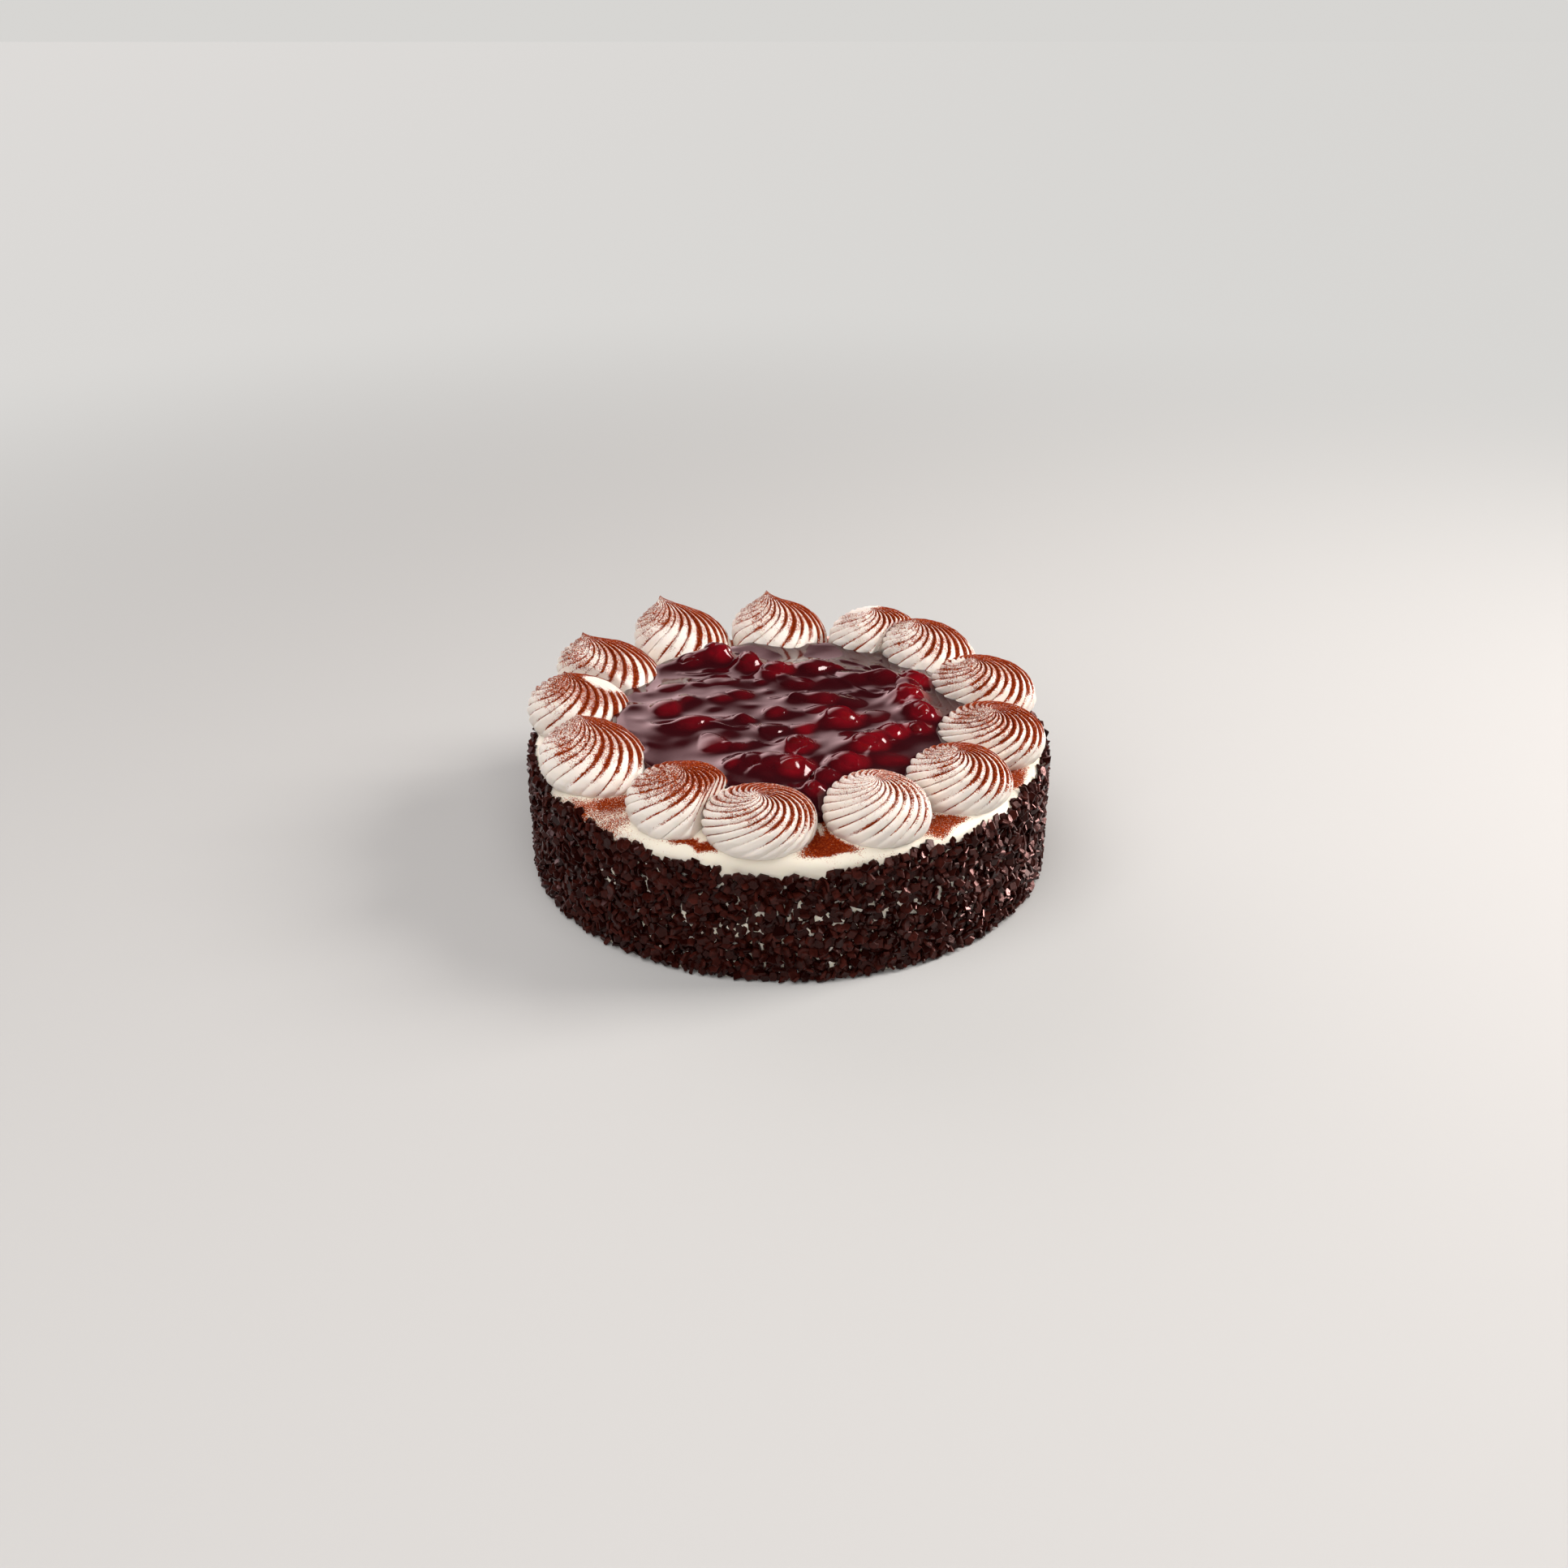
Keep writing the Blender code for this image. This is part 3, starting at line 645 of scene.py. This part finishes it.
def jellyMaterial():
    material, tree, shader = newMaterial("cherry_jelly")
    # red where the jelly is thin over cherries, painted brighter on their lit side
    uneven = mathNode(tree, "MULTIPLY", spread(tree, objectNoise(tree, 5 * mm, 2.0), 0.3, 0.7, 0.6, 1.2),
                      attributeFac(tree, "thin_red_and_painted_light"), clamp=True)
    colour = mixColours(tree, uneven, jellyLook["deep"], jellyLook["thin_red_and_painted_light"])
    tree.links.new(colour, shader.inputs["Base Color"])
    shader.inputs["Roughness"].default_value = 0.11
    shader.inputs["IOR"].default_value = 1.50
    # the pink tint of the jelly's sheen is painted reflection colour
    shader.inputs["Specular Tint"].default_value = (1.0, 0.66, 0.69, 1)
    shader.inputs["Coat Weight"].default_value = 0.4
    shader.inputs["Coat Roughness"].default_value = 0.03
    normal = bumpNode(tree, objectNoise(tree, 6 * mm, 1.0, 0.5, 0.4), 0.18, 0.20 * mm)
    tree.links.new(normal, shader.inputs["Normal"])
    return material


# Cherries

def makeCherry(number, row, material):
    x, y, radius, top = [value * mm for value in row[:4]]
    stretch, turn, red = row[4:]
    draw = np.random.default_rng(700 + number)
    bm = bmesh.new()
    bmesh.ops.create_icosphere(bm, subdivisions=5, radius=1)
    name = f"cherry_{number:02d}"
    mesh = bpy.data.meshes.new("glazed_" + name)
    bm.to_mesh(mesh)
    bm.free()
    ball = readPoints(mesh)
    # a creased side where the stone came out
    way = draw.uniform(0, math.tau)
    pit = np.array([math.cos(way) * 0.85, math.sin(way) * 0.85, 0.5])
    pit /= np.linalg.norm(pit)
    seam = np.cross(pit, (0, 0, 1.0))
    seam /= np.linalg.norm(seam)
    towards = ball @ pit
    deep, wide = cherryLook["hollow"]
    hollow = deep * np.exp(-((1 - towards) / wide))
    deep, wide = cherryLook["crease"]
    crease = deep * np.exp(-((ball @ seam + 0.05 * waves(ball, 0.5, 720 + number)) / wide) ** 2)
    crease *= smoothStep(-0.2, 0.8, towards)
    (high, broad), (low, narrow) = cherryLook["lumps"]
    lumps = high * waves(ball, broad, 710 + number) + low * waves(ball, narrow, 730 + number)
    lobes = np.zeros(len(ball))
    high, wide = cherryLook["lobes"]
    for way in draw.normal(size=(4, 3)) * (1, 1, 0.5) + (0, 0, 0.45):
        lobes = np.maximum(lobes, np.exp(-(1 - ball @ (way / np.linalg.norm(way))) / wide))
    size = np.minimum(cherryLook["core"] + high * lobes - hollow - crease + lumps, 1.05)
    angle = math.radians(turn)
    points = ball * size[:, None] * radius
    along = points @ (math.cos(angle), math.sin(angle), 0)
    points[:, :2] += np.outer(along * (stretch - 1), (math.cos(angle), math.sin(angle)))
    points[:, 2] *= cherryLook["flattening"]
    points += (x, y, top - radius * cherryLook["flattening"])
    writePoints(mesh, points)
    # shade: the cherry's own red, painted brighter on one side as light shining through the flesh, and
    # darker in the stone's hollow
    glow = smoothStep(-0.6, 0.8, ball @ cherryLook["paintedLightFrom"] + 0.20 * waves(ball, 0.9, 750 + number))
    writeAttribute(mesh, "shade", np.clip(red * (0.10 + 0.90 * glow) - 1.2 * hollow, 0, 1))
    return placePiece("glazed_" + name, mesh, material, [name])


def cherryMaterial():
    material, tree, shader = newMaterial("glazed_cherry")
    # the shade attribute carries painted light: red on the side painted as lit, dark on the other
    colour = mixColours(tree, attributeFac(tree, "shade"), cherryLook["dark"], cherryLook["red"])
    tree.links.new(colour, shader.inputs["Base Color"])
    shader.inputs["Roughness"].default_value = 0.20
    shader.inputs["IOR"].default_value = 1.42
    shader.inputs["Coat Weight"].default_value = 0.4
    shader.inputs["Coat Roughness"].default_value = 0.05
    shader.inputs["Subsurface Weight"].default_value = 0.15
    shader.inputs["Subsurface Radius"].default_value = (1.0, 0.15, 0.1)
    shader.inputs["Subsurface Scale"].default_value = 2.0 * mm
    normal = bumpNode(tree, objectNoise(tree, 1.8 * mm, 2.0), 0.2, 0.15 * mm)
    tree.links.new(normal, shader.inputs["Normal"])
    return material


# Chocolate flakes

flakeLook = {
    "across": (3.8 * mm, 6.8 * mm, 5.0 * mm),           # least, most and most often
    "thick": (0.8 * mm, 1.5 * mm),
    # each layer: radius, spacing, tilt in degrees, corners, and how often one is missing
    "layers": ((111.9 * mm, 3.20 * mm, 14, (4, 5, 5, 6), 0.0),
               (113.3 * mm, 3.80 * mm, 38, (4, 4, 5, 6), 0.06)),
    # where the coat is thin: bearing and width in degrees, height and its width in mm, how thin
    "thinSpot": (-88, 38, 31, 12, 0.12),
    "outermost": 115.2 * mm,
    "dark": (0.0085, 0.0006, 0.0003, 1),
    "pale": (0.058, 0.0095, 0.006, 1),
    # top of the coat round the cake: bearing in degrees, height in mm
    "border": ((-180, -160, -140, -120, -105, -95, -85, -75, -62, -50, -30, 0, 60, 120, 180),
               (55.2, 55.2, 55.0, 53.0, 50.2, 49.0, 50.5, 52.0, 54.0, 55.2, 55.4, 55.4, 54.5, 54.5, 55.2)),
}


def chipTemplate(sides, worn, draw):
    # One uneven chip of width and thickness 1, lying flat, with or without a worn upper edge.
    bm = bmesh.new()
    rim = bmesh.ops.create_circle(bm, cap_ends=True, radius=0.5, segments=sides)["verts"]
    for vert in rim:
        vert.co *= draw.uniform(0.86, 1.12)
    squash = draw.uniform(0.62, 1.0)
    bmesh.ops.scale(bm, verts=rim, vec=(1, squash, 1))
    cap = list(bm.faces)
    for rise, shrink in ((0.70, 1.0), (0.30, 0.84)) if worn else ((1.0, 0.92),):
        top = bmesh.ops.extrude_face_region(bm, geom=cap)["geom"]
        cap = [item for item in top if isinstance(item, bmesh.types.BMFace)]
        lifted = [item for item in top if isinstance(item, bmesh.types.BMVert)]
        bmesh.ops.translate(bm, verts=lifted, vec=(0, 0, rise))
        bmesh.ops.scale(bm, verts=lifted, vec=(shrink, shrink, 1))
    for vert in bm.verts:
        vert.co.z += draw.uniform(-0.08, 0.08)
    bmesh.ops.translate(bm, verts=bm.verts, vec=(0, 0, -0.5))
    bmesh.ops.recalc_face_normals(bm, faces=bm.faces)
    bmesh.ops.triangulate(bm, faces=bm.faces)
    bm.verts.ensure_lookup_table()
    points = np.array([vert.co for vert in bm.verts])
    faces = np.array([[vert.index for vert in face.verts] for face in bm.faces])
    bm.free()
    return points, faces


def turned(shape, angle, axis):
    return shape @ np.array(Matrix.Rotation(angle, 3, axis)).T


def makeFlakes(material):
    look = flakeLook
    draw = random.Random(5)
    shoulder = cakeTop - bodyLook["shoulder"]
    spotBearing, spotWidth, spotHeight, spotTall, thinness = look["thinSpot"]
    allPoints, allFaces, allTones = [], [], []
    total = 0
    for layer, (radius, pitch, tilt, corners, missing) in enumerate(look["layers"]):
        templates = [chipTemplate(sides, layer == 1, draw) for sides in corners * 3]
        columns = int(math.tau * radius / pitch)
        for level in range(int(60 * mm / (pitch * 0.87))):
            for column in range(columns):
                bearing = (column + 0.5 * (level % 2) + draw.uniform(-0.42, 0.42)) / columns * math.tau
                bearing = (bearing + math.pi) % math.tau - math.pi
                height = (level + 0.5 + draw.uniform(-0.4, 0.4)) * pitch * 0.87
                border = np.interp(math.degrees(bearing), *look["border"]) * mm
                border += 1.0 * mm * math.sin(9.3 * bearing) + 0.8 * mm * math.sin(23.1 * bearing + 1)
                size = draw.triangular(*look["across"])
                thick = draw.uniform(*look["thick"])
                keep = draw.random()
                points, faces = templates[draw.randrange(len(templates))]
                turns = [math.radians(draw.gauss(0, tilt)) for _ in range(2)]
                spin = draw.uniform(0, math.tau)
                tone = draw.random()
                if height > border - 0.3 * size:
                    continue
                spotShare = math.exp(-((math.degrees(bearing) - spotBearing) / spotWidth) ** 2
                                     - ((height / mm - spotHeight) / spotTall) ** 2)
                if keep < missing + thinness * spotShare:
                    continue
                shape = turned(points * (size, size, thick), spin, "Z")
                shape = turned(turned(shape, turns[0], "X"), turns[1], "Y")
                # stand it on the wall: its flat side faces out, leaning in where the shoulder rounds
                above = max(0.0, (height - shoulder) / bodyLook["shoulder"])
                shape = turned(shape, math.radians(90) - 0.8 * above, "Y")
                out = min(radius - 1.9 * mm * above ** 2, look["outermost"] - shape[:, 0].max())
                low = 0.05 * mm - shape[:, 2].min()
                shape = shape + (out, 0, max(min(height, cakeTop + 0.4 * mm), low))
                allPoints.append(turned(shape, bearing, "Z"))
                allFaces.append(faces + total)
                allTones.append(np.full(len(shape), tone * (0.55 if layer == 0 else 1.0)))
                total += len(shape)
    mesh = bpy.data.meshes.new("chocolate_flakes")
    mesh.from_pydata(np.vstack(allPoints).tolist(), [], np.vstack(allFaces).tolist())
    writeAttribute(mesh, "tone", np.concatenate(allTones))
    print("flakes:", len(allPoints), "triangles:", len(mesh.polygons))
    return placePiece("chocolate_flakes", mesh, material, smooth=False)


def flakeMaterial():
    material, tree, shader = newMaterial("dark_chocolate")
    tone = attributeFac(tree, "tone")
    bloom = objectNoise(tree, 1.6 * mm, 3.0)
    shade = mathNode(tree, "MULTIPLY", tone, spread(tree, bloom, 0.3, 0.7, 0.3, 1.2), clamp=True)
    colour = mixColours(tree, shade, flakeLook["dark"], flakeLook["pale"])
    tree.links.new(colour, shader.inputs["Base Color"])
    tree.links.new(spread(tree, tone, 0, 1, 0.20, 0.42), shader.inputs["Roughness"])
    shader.inputs["Specular IOR Level"].default_value = 0.24
    # the pink tint of the chocolate's reflections is painted: it stands for reflected red surroundings
    shader.inputs["Specular Tint"].default_value = (1.0, 0.64, 0.60, 1)
    normal = bumpNode(tree, objectNoise(tree, 0.9 * mm, 2.0), 0.5, 0.12 * mm)
    tree.links.new(normal, shader.inputs["Normal"])
    return material


# Floor, lights and camera

studio = {
    "floor": (0.56, 0.555, 0.545, 1),
    "backdrop": (0.68, 0.67, 0.65, 1),     # the floor fades into it
    "fadeOut": (0.26, 1.10),       # between these distances in metres
    "world": (1.0, 0.91, 0.90, 1),
    "sheen": (1.0, 0.70, 0.72, 1),         # the room as glossy surfaces reflect it
    "glow": (0.04, 2.60),           # the room's strength, and at its brightest, low behind the cake
    "glowFrom": (-0.52, 0.83, 0.20),
    "glowWidth": (0.76, 1.0),
    # name: place, size in metres, power in watts, colour
    "lights": {
        "key": ((1.15, 0.20, 0.86), (0.60, 0.60), 18, (1.0, 0.96, 0.92)),
        "fill": ((-0.35, -0.95, 1.55), (2.4, 2.4), 42, (1.0, 0.98, 0.97)),
        "glint": ((1.00, 0.34, 0.26), (0.35, 0.35), 24, (1.0, 0.66, 0.62)),
    },
    "onlyDiffuse": "fill",
    "onlyGlossy": "glint",
    "aim": (0, 0, 0.05),
    "camera": (-0.0020, -0.6955, 0.3955),
    "pitch": 27.74,                # degrees below the horizon
    "lens": 40.29,
}


def makeStudio():
    look = studio
    bpy.ops.mesh.primitive_plane_add(size=8, location=(0, 0, -0.0002))
    floor = bpy.context.object
    floor.name = "floor"
    material, tree, shader = newMaterial("pale_floor")
    place = addNode(tree, "ShaderNodeTexCoord").outputs["Object"]
    away = addNode(tree, "ShaderNodeVectorMath", {0: place}, operation="LENGTH").outputs["Value"]
    fade = addNode(tree, "ShaderNodeMapRange", {
        "Value": away, "From Min": look["fadeOut"][0], "From Max": look["fadeOut"][1]},
        interpolation_type="SMOOTHSTEP").outputs["Result"]
    tree.links.new(mixColours(tree, fade, look["floor"], (0, 0, 0, 1)), shader.inputs["Base Color"])
    tree.links.new(fade, shader.inputs["Emission Strength"])
    shader.inputs["Emission Color"].default_value = look["backdrop"]
    shader.inputs["Roughness"].default_value = 0.8
    shader.inputs["Specular IOR Level"].default_value = 0.05
    floor.data.materials.append(material)
    bpy.context.scene.view_settings.view_transform = "Standard"
    world = bpy.data.worlds.new("studio")
    bpy.context.scene.world = world
    world.use_nodes = True
    tree = world.node_tree
    background = tree.nodes["Background"]
    path = addNode(tree, "ShaderNodeLightPath")
    seen = path.outputs["Is Camera Ray"]
    room = mixColours(tree, path.outputs["Is Glossy Ray"], look["world"], look["sheen"])
    tree.links.new(mixColours(tree, seen, room, look["backdrop"]), background.inputs["Color"])
    direction = addNode(tree, "ShaderNodeTexCoord").outputs["Generated"]
    towards = addNode(tree, "ShaderNodeVectorMath", {0: direction, 1: look["glowFrom"]},
                      operation="DOT_PRODUCT")
    (outer, inner), (weak, strong) = look["glowWidth"], look["glow"]
    glow = addNode(tree, "ShaderNodeMapRange", {
        "Value": towards.outputs["Value"], "From Min": outer, "From Max": inner,
        "To Min": weak, "To Max": strong}, interpolation_type="SMOOTHSTEP")
    strength = addNode(tree, "ShaderNodeMix", {0: seen, 2: glow.outputs["Result"], 3: 1.0})
    tree.links.new(strength.outputs[0], background.inputs["Strength"])
    for name, (place, size, power, colour) in look["lights"].items():
        lamp = bpy.data.lights.new(name, "AREA")
        lamp.shape = "RECTANGLE"
        lamp.size, lamp.size_y = size
        lamp.energy = power
        lamp.color = colour
        holder = bpy.data.objects.new(name, lamp)
        holder.location = place
        holder.rotation_euler = (Vector(look["aim"]) - Vector(place)).to_track_quat("-Z", "Y").to_euler()
        holder.visible_glossy = name != look["onlyDiffuse"]
        holder.visible_diffuse = name != look["onlyGlossy"]
        bpy.context.scene.collection.objects.link(holder)
    camera = bpy.data.cameras.new("camera")
    camera.lens = look["lens"]
    camera.sensor_width = 36
    holder = bpy.data.objects.new("camera", camera)
    holder.location = look["camera"]
    holder.rotation_euler = (math.radians(90 - look["pitch"]), 0, 0)
    bpy.context.scene.collection.objects.link(holder)
    bpy.context.scene.camera = holder


makeBody(creamMaterial("iced_cream", creamLook["iced"], creamLook["icedShade"]))
print("body done")
piped = creamMaterial("piped_cream", creamLook["piped"], creamLook["pipedShade"])
for index in range(len(rosetteRows)):
    makeRosette(index, piped)
print("rosettes done")
makeJelly(jellyMaterial())
print("jelly done")
glazed = cherryMaterial()
for number, row in enumerate(cherryRows, 1):
    makeCherry(number, row, glazed)
print("cherries done")
makeFlakes(flakeMaterial())
print("flakes done")
makeStudio()
